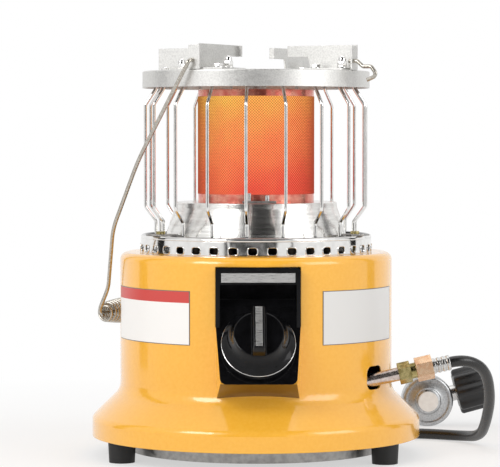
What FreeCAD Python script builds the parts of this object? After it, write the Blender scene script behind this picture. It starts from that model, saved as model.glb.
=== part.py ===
import FreeCAD, Part
import math
import os
import re

import Sketcher
from FreeCAD import Rotation, Vector

# A round cabinet heater: the axis is Z, the floor is z = 0 and the control panel faces -Y.
# Every driving size in millimetres or degrees.
SIZES = {
    "foot_radius": 12.5, "foot_height": 19.5, "foot_bore": 2.6,
    "pan_bottom": 5.5, "pan_sheet": 1.2, "fit_gap": 0.3,
    "skirt_radius": 150, "skirt_bottom": 18.3, "skirt_band": 17.4, "body_radius": 124.3,
    "skirt_top": 60.8, "shell_top": 186, "shell_wall": 1.4, "shoulder_round": 7, "skirt_round": 7, "waist_round": 15,
    "pod_half": 36.7, "pod_front_half": 33, "pod_low": 59.6, "panel_high": 177.3, "pod_lip": 78.6,
    "panel_break": 125.4, "panel_half": 36.9, "panel_sheet": 2.5, "panel_border": 3.5, "panel_proud": 1.2,
    "brow_top": 162.7, "brow_fold": 149, "plate_low": 164.4, "plate_high": 172.6, "plate_half": 32.2,
    "knob_tilt": 33, "knob_height": 108.9, "skirt_ring": 32.3, "face_radius": 21.5,
    "knob_length": 25, "ring_height": 7.4, "grip_width": 10, "grip_length": 44, "grip_height": 13,
    "push_travel": 3.5, "bezel_gap": 5.2, "strip_width": 5.8, "strip_length": 38, "stem_radius": 4,
    "valve_radius": 14, "valve_length": 34, "valve_back": 46, "plunger_radius": 7,
    "ring_radius": 105.6, "ring_height_z": 11.5, "ring_wall": 1, "lip_radius": 2.3, "vent_wide": 8.2, "vent_tall": 6.3,
    "vent_count": 38, "vent_level": 4.2, "vent_start": 2.5,
    "wire_radius": 1.5, "wire_count": 18, "wire_start": 5.9, "cage_swell_out": 9.6,
    "cage_low": 214, "cage_swell": 227, "cage_neck": 319.8, "cage_high": 334.5, "hoop_wire": 2,
    "bell_radius": 73.8, "bell_top": 231.5, "bell_edge": 5, "spacer_height": 15.5, "tube_foot": 120,
    "burner_radius": 53, "burner_band": 6, "lower_band": 7.5, "burner_wall": 1, "core_radius": 49,
    "plate_radius": 103.8, "plate_bottom": 335.2, "plate_top": 350.4, "plate_sheet": 1.4,
    "support_top": 373, "support_in": 33, "support_out": 103.6, "support_sheet": 1.6, "arm_height": 10,
    "arm_end": 57, "support_angle": 60, "foot_flange": 22, "end_flange": 10.5, "bail_level": 358.4,
    "bail_wire": 1.8, "hinge_offset": 6.2, "grip_level": 128, "coil_turns": 20,
    "coil_wire": 1.1, "coil_radius": 11.2, "coil_end": 7.8, "coil_length": 90, "stud_radius": 2, "nut_radius": 4.2,
    "nut_height": 11, "inlet_angle": 32.4, "inlet_level": 76, "inlet_depth": 66, "inlet_rise": 12.7,
    "pipe_radius": 6, "hose_radius": 5, "reg_radius": 25.5, "reg_depth": 20, "wheel_radius": 23,
    "wheel_length": 28, "wheel_lobes": 8, "label_sheet": 0.4, "label_low": 108.5, "label_height": 47.5,
}
FORMULAS = {
    "foot_circle": "skirt_radius - shell_wall - foot_radius - 0.5", "pan_radius": "foot_circle - foot_radius - 4.1",
    "deck_hole": "ring_radius - 25.6", "clip_circle": "ring_radius - 6.6", "waist_radius": "ring_radius - 14",
    "cage_radius": "waist_radius + cage_swell_out", "bell_foot": "ring_radius - 21.6",
    "bell_flange": "ring_radius - 12.6", "burner_high": "roof - spacer_height",
    "knob_slope": "tan(knob_tilt)", "brow_depth": "(brow_fold - panel_break) * knob_slope",
    "pod_depth": "(panel_break - pod_lip) * knob_slope",
    "knob_front": "body_radius + (panel_break - knob_height) * knob_slope",
    "deck": "shell_top - shell_wall", "ring_top": "shell_top + ring_height_z",
    "lip_level": "ring_top + lip_radius", "roof": "plate_top - plate_sheet",
    "knob_side": "sin(knob_tilt)", "knob_out": "cos(knob_tilt)",
}

doc = FreeCAD.newDocument("heater")
sheet = doc.addObject("Spreadsheet::Sheet", "Sizes")
for row, (word, number) in enumerate(SIZES.items(), start=1):
    sheet.set(f"A{row}", word)
    sheet.set(f"B{row}", str(number))
    sheet.setAlias(f"B{row}", word)
doc.recompute()
PARTS = []


def bound(words):
    """Turn a formula in plain size names into an expression on the sheet."""
    def swap(match):
        name = match[0]
        if name in FORMULAS:
            return "(" + bound(FORMULAS[name]) + ")"
        return "Sizes." + name if name in SIZES else name
    return re.sub(r"[a-z_]+", swap, str(words))


def size(words):
    value = sheet.evalExpression(bound(words))
    return float(getattr(value, "Value", value))


def keep(feature, label):
    feature.Label = label
    PARTS.append(feature)
    return feature


def sketch_on(body, plane, corners):
    """Draw a closed outline whose corners are tied to the sheet."""
    sketch = body.newObject("Sketcher::SketchObject", "Outline")
    origin = [o for o in body.Origin.OriginFeatures if o.Role == plane][0]
    sketch.AttachmentSupport = [(origin, "")]
    sketch.MapMode = "FlatFace"
    points = [Vector(size(a), size(b), 0) for a, b in corners]
    count = len(points)
    for i in range(count):
        sketch.addGeometry(Part.LineSegment(points[i], points[(i + 1) % count]), False)
    for i in range(count):
        sketch.addConstraint(Sketcher.Constraint("Coincident", i, 2, (i + 1) % count, 1))
    for i, (across, up) in enumerate(corners):
        for kind, words in (("DistanceX", across), ("DistanceY", up)):
            index = sketch.addConstraint(Sketcher.Constraint(kind, -1, 1, i, 1, size(words)))
            sketch.setExpression(f"Constraints[{index}]", bound(words))
    return sketch


def turned(label, corners, rounds=()):
    """A body of revolution about Z; rounds are (radius, height, fillet) of its edges."""
    body = doc.addObject("PartDesign::Body", label)
    sketch = sketch_on(body, "XZ_Plane", corners)
    solid = body.newObject("PartDesign::Revolution", "Turned")
    solid.Profile = sketch
    solid.ReferenceAxis = (sketch, ["V_Axis"])
    solid.Angle = 360
    doc.recompute()
    last = solid
    for radius, height, fillet in rounds:
        names = circle_edges(last.Shape, size(radius), size(height))
        rounded = body.newObject("PartDesign::Fillet", "Round")
        rounded.Base = (last, names)
        rounded.setExpression("Radius", bound(fillet))
        doc.recompute()
        last = rounded
    return keep(body, label)


def circle_edges(shape, radius, height):
    found = []
    for number, edge in enumerate(shape.Edges, start=1):
        curve = edge.Curve
        if hasattr(curve, "Radius") and abs(curve.Radius - radius) < 0.01:
            if abs(curve.Center.z - height) < 0.01:
                found.append(f"Edge{number}")
    return found


def padded(label, plane, corners, length, middle=False):
    body = doc.addObject("PartDesign::Body", label)
    solid = body.newObject("PartDesign::Pad", "Thickness")
    solid.Profile = sketch_on(body, plane, corners)
    solid.setExpression("Length", bound(length))
    solid.Midplane = middle
    body.Tip = solid
    doc.recompute()
    return body


def rod(label, radius, height, at=("0", "0", "0"), along=Vector(0, 0, 1)):
    """A cylinder from a point along a direction, tied to the sheet."""
    pin = doc.addObject("Part::Cylinder", label)
    pin.setExpression("Radius", bound(radius))
    pin.setExpression("Height", bound(height))
    pin.Placement.Rotation = Rotation(Vector(0, 0, 1), along)
    for letter, words in zip("xyz", at):
        pin.setExpression(f"Placement.Base.{letter}", bound(words))
    doc.recompute()
    return pin


def hex_bar(label, across, height, at, along):
    bar = doc.addObject("Part::Prism", label)
    bar.Polygon = 6
    bar.Circumradius = across / math.sqrt(3)
    bar.Height = height
    bar.Placement = FreeCAD.Placement(at, Rotation(Vector(0, 0, 1), along))
    doc.recompute()
    return bar


def cut(label, base, tool):
    result = doc.addObject("Part::Cut", label)
    result.Base, result.Tool = base, tool
    doc.recompute()
    return result


def fused(label, *pieces):
    result = doc.addObject("Part::MultiFuse", label)
    result.Shapes = list(pieces)
    doc.recompute()
    return result


def feature(label, shape):
    result = doc.addObject("Part::Feature", label)
    result.Shape = shape
    return result


def around(label, shape, angles):
    """Equal copies about the heater's axis, as separate solids."""
    copies = []
    for angle in angles:
        copy = shape.copy()
        copy.rotate(Vector(0, 0, 0), Vector(0, 0, 1), angle)
        copies.append(copy)
    return feature(label, Part.makeCompound(copies))


def polar(radius, angle, level=0.0):
    turn = math.radians(angle)
    return Vector(radius * math.cos(turn), radius * math.sin(turn), level)


def rounded_path(points, radii):
    """Straight runs joined by tangent arcs."""
    edges, start = [], points[0]
    for i in range(1, len(points) - 1):
        back = (points[i - 1] - points[i]).normalize()
        ahead = (points[i + 1] - points[i]).normalize()
        half = (math.pi - back.getAngle(ahead)) / 2
        reach = radii[i - 1] * math.tan(half)
        enter, leave = points[i] + back * reach, points[i] + ahead * reach
        inward = (back + ahead).normalize()
        middle = points[i] + inward * (radii[i - 1] / math.cos(half) - radii[i - 1])
        edges += [Part.LineSegment(start, enter).toShape(), Part.Arc(enter, middle, leave).toShape()]
        start = leave
    edges.append(Part.LineSegment(start, points[-1]).toShape())
    return Part.Wire(edges)


def wire_solid(path, radius):
    first = path.Edges[0]
    ring = Part.Wire(Part.makeCircle(radius, first.valueAt(first.FirstParameter),
                                     first.tangentAt(first.FirstParameter)))
    return path.makePipeShell([ring], True, False)


def disc_at(radius, height, at, along):
    return Part.makeCylinder(radius, height, at, along)


FOOT_ANGLES = (-33, -153, 87)
SUPPORT_ANGLES = (-30, -120, 150, 60)
CLIP_ANGLES = (-150.5, -27, 90)
NUT_SIDES = {-30: -1, -120: 1, 150: 1, 60: -1}
NUT_REACHES = {-1: (94.5, 68), 1: (72, 90)}


def clip_bore():
    """A hole for a guard clip's screw, through the vent ring and the deck."""
    return disc_at(2.1, 30, Vector(size("clip_circle"), 0, size("shell_top") - 12), Vector(0, 0, 1))


def make_base():
    foot = turned("foot_form", [("0", "0"), ("foot_radius - 1", "0"), ("foot_radius", "foot_height"),
                                ("0", "foot_height")])
    PARTS.remove(foot)
    hole = Part.makeCylinder(size("foot_bore"), size("foot_height"))
    one = foot.Shape.cut(hole)
    one.translate(polar(size("foot_circle"), 0))
    keep(around("feet", one, FOOT_ANGLES), "feet")
    thread = size("foot_bore - 0.05")
    screw = Part.makeCylinder(thread, size("foot_height - 3"), Vector(0, 0, 3))
    screw = screw.fuse(Part.makeCylinder(thread, size("pan_sheet + 3"), Vector(0, 0, size("foot_height"))))
    screw = screw.removeSplitter()
    screw.translate(polar(size("foot_circle"), 0))
    keep(around("foot_screws", screw, FOOT_ANGLES), "foot_screws")
    pan = turned("pan_form", [
        ("0", "pan_bottom"), ("pan_radius - 2", "pan_bottom"), ("pan_radius", "foot_height"),
        ("skirt_radius - shell_wall - fit_gap", "foot_height"),
        ("skirt_radius - shell_wall - fit_gap", "foot_height + pan_sheet"),
        ("pan_radius - pan_sheet", "foot_height + pan_sheet"),
        ("pan_radius - 2 - pan_sheet", "pan_bottom + pan_sheet"), ("0", "pan_bottom + pan_sheet")])
    PARTS.remove(pan)
    bores = [disc_at(size("foot_bore"), 40, polar(size("foot_circle"), a), Vector(0, 0, 1))
             for a in FOOT_ANGLES]
    keep(cut("bottom_pan", pan, feature("pan_bores", Part.makeCompound(bores))), "bottom_pan")


def solid_of(corners, faces):
    """A flat-faced solid from its corners and the corner numbers of each face."""
    sides = []
    for face in faces:
        loop = [corners[i] for i in face]
        sides.append(Part.Face(Part.makePolygon(loop + loop[:1])))
    solid = Part.makeSolid(Part.makeShell(sides))
    if solid.Volume < 0:
        solid.reverse()
    return solid


def pod_form(wall, ahead):
    """The pod's wedge: a face leaning like the knob's, side walls that flare back to the shell."""
    radius, break_level = size("body_radius"), size("panel_break")
    behind = size("panel_sheet") / size("knob_out")
    half, front_half = size("pod_half") - wall, size("pod_front_half") - wall
    top, back = break_level + ahead * 0.1, -radius + 12 + wall
    upper, drop = Vector(half, -radius + behind - ahead, top), ahead * 0.48
    lower = Vector(front_half, -radius - size("pod_depth") + behind - ahead, size("pod_lip") + wall + drop)
    heel, head = Vector(half, back, size("pod_low") + wall), Vector(half, back, top)
    right = [upper, lower, heel, head]
    corners = right + [Vector(-p.x, p.y, p.z) for p in right]
    faces = [(0, 1, 5, 4), (1, 2, 6, 5), (2, 3, 7, 6), (3, 0, 4, 7), (0, 1, 2), (0, 2, 3), (4, 5, 6), (4, 6, 7)]
    return solid_of(corners, faces)


def make_shell():
    outer = turned("shell_outer", [
        ("0", "skirt_bottom"), ("skirt_radius", "skirt_bottom"), ("skirt_radius", "skirt_bottom + skirt_band"),
        ("body_radius", "skirt_top"), ("body_radius", "shell_top"), ("0", "shell_top")],
        [("body_radius", "shell_top", "shoulder_round"),
         ("skirt_radius", "skirt_bottom + skirt_band", "skirt_round"),
         ("body_radius", "skirt_top", "waist_round")])
    inner = turned("shell_inner", [
        ("0", "skirt_bottom - 1"), ("skirt_radius - shell_wall", "skirt_bottom - 1"),
        ("skirt_radius - shell_wall", "skirt_bottom + skirt_band - shell_wall"),
        ("body_radius - shell_wall", "skirt_top - shell_wall"),
        ("body_radius - shell_wall", "deck"), ("0", "deck")],
        [("body_radius - shell_wall", "deck", "shoulder_round - shell_wall")])
    pod_out = feature("pod_outer", pod_form(0, 0))
    pod_in = feature("pod_inner", pod_form(size("shell_wall"), 5))
    window = padded("panel_window", "YZ_Plane", [
        ("0 - body_radius - 20", "panel_break - fit_gap"), ("0 - body_radius + 24", "panel_break - fit_gap"),
        ("0 - body_radius + 24", "panel_high + fit_gap"), ("0 - body_radius - 20", "panel_high + fit_gap")],
        "(panel_half + fit_gap) * 2", True)
    deck = rod("deck_bore", "deck_hole", "40", ("0", "0", "deck - 20"))
    slot_box = Part.makeBox(40, 26, 21)
    slot = feature("inlet_slot", slot_box.makeFillet(7, [e for e in slot_box.Edges if abs(e.Length - 40) < 0.01]))
    angle = -size("inlet_angle")
    slot.Placement = FreeCAD.Placement(polar(size("body_radius") - 22, angle, size("inlet_level - 10.5"))
                                       - polar(13, angle + 90), Rotation(Vector(0, 0, 1), angle))
    bores = around("deck_bores", clip_bore(), CLIP_ANGLES)
    body = fused("shell_body", outer, pod_out)
    hollow = fused("shell_hollow", inner, pod_in, window, deck, slot, bores)
    for form in (outer, inner):
        PARTS.remove(form)
    keep(cut("base_shell", body, hollow), "base_shell")


def make_panel():
    """Gloss panel: a raised frame with a folded brow, and a leaning lower face over the pod."""
    radius, high, low = size("body_radius"), size("panel_high"), size("panel_break")
    half, border, proud = size("panel_half"), size("panel_border"), size("panel_proud")
    frame = Part.makeBox(half * 2, proud + 9, high - low, Vector(-half, -radius - proud, low))
    corners = [e for e in frame.Edges if abs(e.Length - proud - 9) < 0.01 and e.CenterOfMass.z > high - 1]
    frame = frame.makeFillet(4, corners)
    frame = frame.cut(Part.makeBox((half - border) * 2, 40, high - border - low,
                                   Vector(-half + border, -radius - 20, low)))
    face = [("0 - body_radius", "panel_high - panel_border"), ("0 - body_radius", "brow_top"),
            ("0 - body_radius + brow_depth", "brow_fold"), ("0 - body_radius", "panel_break")]
    rear = [(f"{y} + panel_sheet", z) for y, z in reversed(face)]
    sheet_form = padded("brow_form", "YZ_Plane", face + rear, "(panel_half - panel_border) * 2", True)
    depth, thick = size("pod_depth"), size("panel_sheet") / size("knob_out") - 0.1
    front = [Vector(half, -radius, low), Vector(size("pod_front_half"), -radius - depth, size("pod_lip"))]
    front += [Vector(-p.x, p.y, p.z) for p in reversed(front)]
    outline = rounded_path(front, [6, 6]).Edges
    outline.append(Part.makeLine(front[3], front[0]))
    slab = Part.Face(Part.Wire(outline)).extrude(Vector(0, thick, 0))
    whole = fused("panel_body", feature("panel_frame", frame), sheet_form, feature("panel_slab", slab))
    bore = rod("panel_bore", "stem_radius + 1", "60", up_knob("0 - 40"), knob_axis())
    keep(cut("control_panel", whole, bore), "control_panel")
    badge = padded("panel_badge", "YZ_Plane", [
        ("0 - body_radius - 0.8", "plate_low"), ("0 - body_radius", "plate_low"),
        ("0 - body_radius", "plate_high"), ("0 - body_radius - 0.8", "plate_high")],
        "plate_half * 2", True)
    keep(badge, "panel_badge")


def knob_axis():
    return Vector(0, -size("knob_out"), size("knob_side"))


def up_knob(offset):
    """Place on the knob's axis, at an offset out of the panel, as three formulas."""
    return "0", f"0 - knob_front - ({offset}) * knob_out", f"knob_height + ({offset}) * knob_side"


def knob_place(offset=0.0):
    base = Vector(0, -size("knob_front"), size("knob_height")) + knob_axis() * offset
    return FreeCAD.Placement(base, Rotation(Vector(1, 0, 0), 90 - size("knob_tilt")))


def make_knob():
    dial = turned("knob_form", [
        ("0", "ring_height"), ("skirt_ring - 0.4", "ring_height"), ("skirt_ring - 1.2", "ring_height + 1.6"),
        ("face_radius + 1", "knob_length - 5"), ("face_radius", "knob_length"), ("0", "knob_length")],
        [("face_radius", "knob_length", "1")])
    grip = doc.addObject("Part::Wedge", "knob_grip")
    half, long, tall = size("grip_width / 2"), size("grip_length / 2"), size("grip_height")
    low = size("knob_length") - 0.5
    grip.Xmin, grip.Xmax, grip.Zmin, grip.Zmax = -half * 1.3, half * 1.3, -long, long
    grip.X2min, grip.X2max, grip.Z2min, grip.Z2max = -half, half, -long + 1.5, long - 1.5
    grip.Ymin, grip.Ymax = 0, tall + 0.5
    grip.Placement = FreeCAD.Placement(Vector(0, 0, low), Rotation(Vector(1, 0, 0), 90))
    PARTS.remove(dial)
    knob = keep(fused("knob", dial, grip), "knob")
    knob.Placement = knob_place()
    chrome = turned("knob_ring", [
        ("skirt_ring - 8", "ring_height - 1.2"), ("skirt_ring - 0.3", "ring_height - 1.2"),
        ("skirt_ring", "ring_height - 0.9"), ("skirt_ring", "ring_height - 0.3"),
        ("skirt_ring - 0.3", "ring_height"), ("skirt_ring - 8", "ring_height")])
    chrome.Placement = knob_place()
    bezel = turned("knob_bezel", [
        ("stem_radius + 1", "0"), ("skirt_ring - 0.5", "0"), ("skirt_ring - 1.5", "ring_height - bezel_gap"),
        ("stem_radius + 1", "ring_height - bezel_gap")])
    bezel.Placement = knob_place()
    strip = padded("knob_strip", "XY_Plane", [
        ("0 - strip_width / 2", "0 - strip_length / 2"), ("strip_width / 2", "0 - strip_length / 2"),
         ("strip_width / 2", "strip_length / 2"), ("0 - strip_width / 2", "strip_length / 2")], "0.6")
    strip.Placement = knob_place(size("knob_length + grip_height"))
    keep(strip, "knob_strip")
    keep(rod("knob_stem", "stem_radius", "ring_height + 26", up_knob("0 - 26"), knob_axis()), "knob_stem")


def make_valve():
    """Valve with its plunger, igniter and bracket, all square to the knob's axis."""
    axis = knob_axis()
    block = rod("valve_barrel", "valve_radius", "valve_length", up_knob("0 - valve_back"), axis)
    bore = rod("valve_bore", "plunger_radius + 0.3", "valve_length", up_knob("0 - 30 - push_travel"), axis)
    keep(cut("gas_valve", block, bore), "gas_valve")
    plunger = rod("plunger_disc", "plunger_radius", "4", up_knob("0 - 22"), axis)
    passage = rod("plunger_bore", "stem_radius + 0.06", "4", up_knob("0 - 22"), axis)
    keep(cut("valve_plunger", plunger, passage), "valve_plunger")
    plate = doc.addObject("Part::Box", "bracket_plate")
    plate.setExpression("Length", bound("(pod_half - 3.9) * 2"))
    plate.Width, plate.Height = 40, 2
    corner = Vector(-size("pod_half - 3.9"), -20, size("valve_length - valve_back"))
    plate.Placement = FreeCAD.Placement(knob_place().multVec(corner), knob_place().Rotation)
    passage = rod("bracket_bore", "stem_radius + 0.5", "10", up_knob("valve_length - valve_back - 4"), axis)
    keep(cut("valve_bracket", plate, passage), "valve_bracket")
    igniter = rod("piezo_igniter", "6", "30", ("valve_radius + 8", up_knob("0 - valve_back")[1],
                                               up_knob("0 - valve_back")[2]), axis)
    igniter.setExpression("Height", bound("valve_length"))
    keep(igniter, "piezo_igniter")


def coil_tube(widest, end_radius, narrow, wire, turns, pitch, closing):
    """A barrel-shaped wound grip of quarter-turn arcs along Z that closes on its core at both ends."""
    def spot(quarter):
        turn = quarter / 4
        edge = min(turn, turns - turn) / closing
        swell = math.sin(math.pi * turn / turns)
        open_radius = end_radius + (widest - end_radius) * swell
        return polar(narrow + (open_radius - narrow) * min(edge, 1), 90 * quarter, pitch * turn)
    edges = []
    for quarter in range(int(turns * 4)):
        arc = Part.Arc(spot(quarter), spot(quarter + 0.5), spot(quarter + 1))
        edges.append(arc.toShape())
    path = Part.Wire(edges)
    start = path.Edges[0]
    ring = Part.Wire(Part.makeCircle(wire, start.valueAt(start.FirstParameter),
                                     start.tangentAt(start.FirstParameter)))
    samples = [spot(i / 4) for i in range(int(turns * 16))]
    least = min((samples[i] - samples[j]).Length for i in range(len(samples))
                for j in range(i + 10, min(i + 22, len(samples))))
    print("grip least gap to itself", round(least - 2 * wire, 2))
    return path.makePipeShell([ring], True, False)


def make_vent_ring():
    band = turned("band_form", [
        ("ring_radius - 11", "shell_top"), ("ring_radius", "shell_top"), ("ring_radius", "ring_top + 1"),
        ("ring_radius - ring_wall", "ring_top + 1"), ("ring_radius - ring_wall", "shell_top + ring_wall"),
        ("ring_radius - 11", "shell_top + ring_wall")])
    PARTS.remove(band)
    lip = doc.addObject("Part::Torus", "rolled_lip")
    lip.setExpression("Radius1", bound("ring_radius - lip_radius"))
    lip.setExpression("Radius2", bound("lip_radius"))
    lip.setExpression("Placement.Base.z", bound("lip_level"))
    pitch = 360 / size("vent_count")
    wide, tall = size("vent_wide"), size("vent_tall")
    drill = Part.makeBox(6, wide, tall, Vector(size("ring_radius") - 3, -wide / 2,
                                               size("shell_top + vent_level") - tall / 2))
    drill = drill.makeFillet(2.2, [e for e in drill.Edges if abs(e.Length - 6) < 0.01])
    holes = around("vent_drills", drill, [-90 - size("vent_start") + pitch * i for i in range(int(size("vent_count")))])
    bores = around("ring_bores", clip_bore(), CLIP_ANGLES)
    keep(cut("vent_ring", fused("ring_body", band, lip), fused("ring_drills", holes, bores)), "vent_ring")


def make_cage():
    waist, cage = size("waist_radius"), size("cage_radius")
    levels = [size(w) for w in ("shell_top + ring_wall + 6", "cage_low", "cage_swell", "cage_neck", "cage_high",
                                "roof")]
    points = [Vector(r, 0, z) for r, z in zip((waist, waist, cage, cage, waist, waist), levels)]
    wire = wire_solid(rounded_path(points, [5, 5, 5, 5]), size("wire_radius"))
    step = 360 / size("wire_count")
    turns = [-90 - size("wire_start") + step * i for i in range(int(size("wire_count")))]
    keep(around("guard_wires", wire, turns), "guard_wires")
    for label, level in (("guard_lower_ring", "shell_top + ring_wall + 6 + hoop_wire"),
                         ("guard_upper_ring", "roof - hoop_wire")):
        hoop = doc.addObject("Part::Torus", label)
        hoop.setExpression("Radius1", bound("waist_radius - wire_radius - hoop_wire + 0.3"))
        hoop.setExpression("Radius2", bound("hoop_wire"))
        hoop.setExpression("Placement.Base.z", bound(level))
        keep(hoop, label)
    deck, lip = size("shell_top + ring_wall"), size("lip_level + lip_radius")
    clip = Part.makeBox(26, 12, 1.4, Vector(waist - 7, -6, lip))
    clip = clip.fuse(Part.makeBox(1.4, 12, lip - deck - 1, Vector(waist - 7, -6, deck + 1)))
    clip = clip.fuse(Part.makeBox(9, 12, 1.4, Vector(waist - 7, -6, deck + 1)))
    circle = size("clip_circle")
    clip = clip.cut(Part.makeCylinder(2.1, 60, Vector(circle, 0, deck - 10)))
    keep(around("guard_clips", clip.removeSplitter(), CLIP_ANGLES), "guard_clips")
    screw = Part.makeCylinder(2, lip - deck + 1.4 + 6, Vector(circle, 0, deck - 6))
    screw = screw.fuse(Part.makeCylinder(4, 2.6, Vector(circle, 0, lip + 1.4))).removeSplitter()
    keep(around("clip_screws", screw, CLIP_ANGLES), "clip_screws")


def make_burner():
    wall = "burner_wall"
    turned("reflector", [
        ("burner_radius - 12", "bell_top - 1"), ("burner_radius - 12", "bell_top"), ("bell_radius", "bell_top"),
        ("bell_radius + 0.6", "bell_top - bell_edge"), ("bell_radius + 3.6", "bell_top - 14"),
        ("bell_radius + 8", "shell_top + 18"), ("bell_foot", "shell_top + 8"), ("bell_foot", "shell_top + 1"),
        ("bell_flange", "shell_top + 1"), ("bell_flange", "shell_top"), ("bell_foot - 1", "shell_top"),
        ("bell_foot - 1", "shell_top + 8"), ("bell_radius + 7", "shell_top + 18"),
        ("bell_radius + 2.6", "bell_top - 14"), ("bell_radius - 0.4", "bell_top - bell_edge"),
        ("bell_radius - 0.8", "bell_top - 1")],
        [("bell_radius", "bell_top", "0.9")])
    turned("burner_lower_band", [
        ("burner_radius - 12", "bell_top"), ("burner_radius", "bell_top"), ("burner_radius", "bell_top + lower_band"),
        ("burner_radius - 3", "bell_top + lower_band"), ("burner_radius - 3", "bell_top + 1.2"),
        ("burner_radius - 12", "bell_top + 1.2")])
    turned("burner_mesh", [
        ("burner_radius - 0.4", "bell_top + lower_band"), (f"burner_radius - 0.4 - {wall}", "bell_top + lower_band"),
        (f"burner_radius - 0.4 - {wall}", "burner_high - burner_band"),
        ("burner_radius - 0.4", "burner_high - burner_band")])
    turned("burner_core", [
        ("core_radius", "bell_top + 1.2"), ("core_radius - 2", "bell_top + 1.2"),
        ("core_radius - 2", "burner_high - 1.2"), ("core_radius", "burner_high - 1.2")])
    turned("burner_cap", [
        ("0", "burner_high - 1.2"), ("burner_radius - 3", "burner_high - 1.2"),
        ("burner_radius - 3", "burner_high - burner_band"), ("burner_radius", "burner_high - burner_band"),
        ("burner_radius", "burner_high"), ("0", "burner_high")])
    post = rod("top_spacer", "7", "roof - burner_high", ("0", "0", "burner_high"))
    keep(post, "top_spacer")
    turned("mixing_tube", [
        ("11", "tube_foot"), ("12.2", "tube_foot"), ("12.2", "bell_top - 14"), ("burner_radius - 12.2", "bell_top - 2"),
        ("burner_radius - 12.2", "bell_top + 1.2"), ("burner_radius - 13.4", "bell_top + 1.2"),
        ("burner_radius - 13.4", "bell_top - 1.5"), ("11", "bell_top - 13")])
    injector = rod("injector_body", "5", "20", ("0", "0", "tube_foot - 20"))
    keep(injector, "injector")
    tie = Part.makeBox(24, 2, 10, Vector(-12, 11.5, 100)).fuse(Part.makeBox(10, 6.5, 4, Vector(-5, 5, 102)))
    tie = tie.fuse(Part.makeBox(6, 2, 26, Vector(-3, 12.2, 100)))
    keep(feature("injector_bracket", tie.removeSplitter()), "injector_bracket")


def make_gas_line():
    ahead = -knob_axis()
    rear = knob_place(-size("valve_back")).Base
    start = rear + Vector(-7, 0, 0)
    path = rounded_path([start, start + ahead * 22, Vector(-4, -30, 88), Vector(0, 0, 88), Vector(0, 0, 100)],
                        [9, 9, 9])
    keep(feature("gas_tube", wire_solid(path, 3)), "gas_tube")
    run = Vector(math.cos(math.radians(size("inlet_rise"))), 0, math.sin(math.radians(size("inlet_rise"))))
    mouth = Vector(size("body_radius - 1.8"), -size("inlet_depth"), size("inlet_level + 2.3"))
    origin = mouth - run * 84.5
    start = rear + Vector(7, 0, 0)
    path = rounded_path([start, start + ahead * 18, origin - run * 18, origin], [8, 8])
    keep(feature("supply_tube", wire_solid(path, 3)), "supply_tube")
    keep(feature("inlet_pipe", disc_at(size("pipe_radius"), 88.5, origin, run)), "inlet_pipe")
    tip = mouth + run * 4
    union = Part.makeCylinder(7, 5, tip + run * 11, run)
    nut = hex_bar("union_hex", 17, 11, tip, run)
    keep(fused("inlet_union", nut, feature("union_neck", union)), "inlet_union")
    tip = tip + run * 16
    keep(hex_bar("flare_nut", 19, 15, tip, run), "flare_nut")
    tip = tip + run * 15
    keep(feature("hose_ferrule", disc_at(7, 16, tip, run)), "hose_ferrule")
    return tip + run * 16, run


HOSE_POINTS = [(206, -50, 82), (214, -18, 54), (214, 18, 27), (212, 52, 9), (198, 86, 5.4), (162, 106, 5.4),
               (118, 111, 5.4), (86, 134, 5.4), (71, 166, 5.4), (84, 203, 5.4)]
REGULATOR_SPOT = Vector(176, 222, 25.5)
REGULATOR_TILT = 15


def make_hose():
    """The hose lies on the floor beside the heater and ends at the regulator's rim."""
    begin, run = make_gas_line()
    hub = REGULATOR_SPOT
    turn = math.radians(REGULATOR_TILT)
    spout = Vector(math.cos(turn), 0, math.sin(turn))
    front = Vector(0, -1, 0)
    ferrule_end = hub - spout * (size("reg_radius") + 14)
    points = [begin, begin + run * 14] + [Vector(*p) for p in HOSE_POINTS]
    points += [ferrule_end - spout * 30, ferrule_end]
    radii = []
    for i in range(1, len(points) - 1):
        back, ahead = points[i - 1] - points[i], points[i + 1] - points[i]
        bend = math.pi - back.getAngle(ahead)
        radii.append(min(0.45 * min(back.Length, ahead.Length) / math.tan(bend / 2), 400))
    print("hose radii", [round(r) for r in radii])
    path = rounded_path(points, radii)
    hose = wire_solid(path, size("hose_radius"))
    print("hose length", round(path.Length), "volume ratio",
          round(hose.Volume / (path.Length * math.pi * size("hose_radius") ** 2), 3))
    keep(feature("hose", hose), "hose")
    face = size("reg_depth / 2")
    body = disc_at(size("reg_radius"), size("reg_depth"), hub - front * face, front)
    keep(feature("regulator_body", body), "regulator_body")
    keep(feature("regulator_ferrule", disc_at(7, 16, ferrule_end, spout).cut(body)), "regulator_ferrule")
    cover = Part.makeCone(size("reg_radius"), size("reg_radius - 5"), 5, hub + front * face, front)
    keep(feature("regulator_cover", cover), "regulator_cover")
    keep(feature("regulator_cap", disc_at(10, 3, hub + front * (face + 5), front)), "regulator_cap")
    neck = disc_at(8, 16, hub + spout * size("reg_radius - 1"), spout).cut(body)
    keep(feature("regulator_neck", neck), "regulator_neck")
    up, long = Vector(0, 0, 1), size("wheel_length")
    wheel = disc_at(size("wheel_radius"), long, Vector(), up)
    for i in range(int(size("wheel_lobes"))):
        flute = polar(size("wheel_radius + 2.5"), 360 * i / size("wheel_lobes"))
        wheel = wheel.cut(disc_at(6.5, long, flute, up))
    wheel = wheel.cut(disc_at(8.08, 12, Vector(), up))
    handwheel = keep(feature("handwheel", wheel), "handwheel")
    handwheel.Placement = FreeCAD.Placement(hub + spout * size("reg_radius + 5"), Rotation(up, spout))


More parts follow.
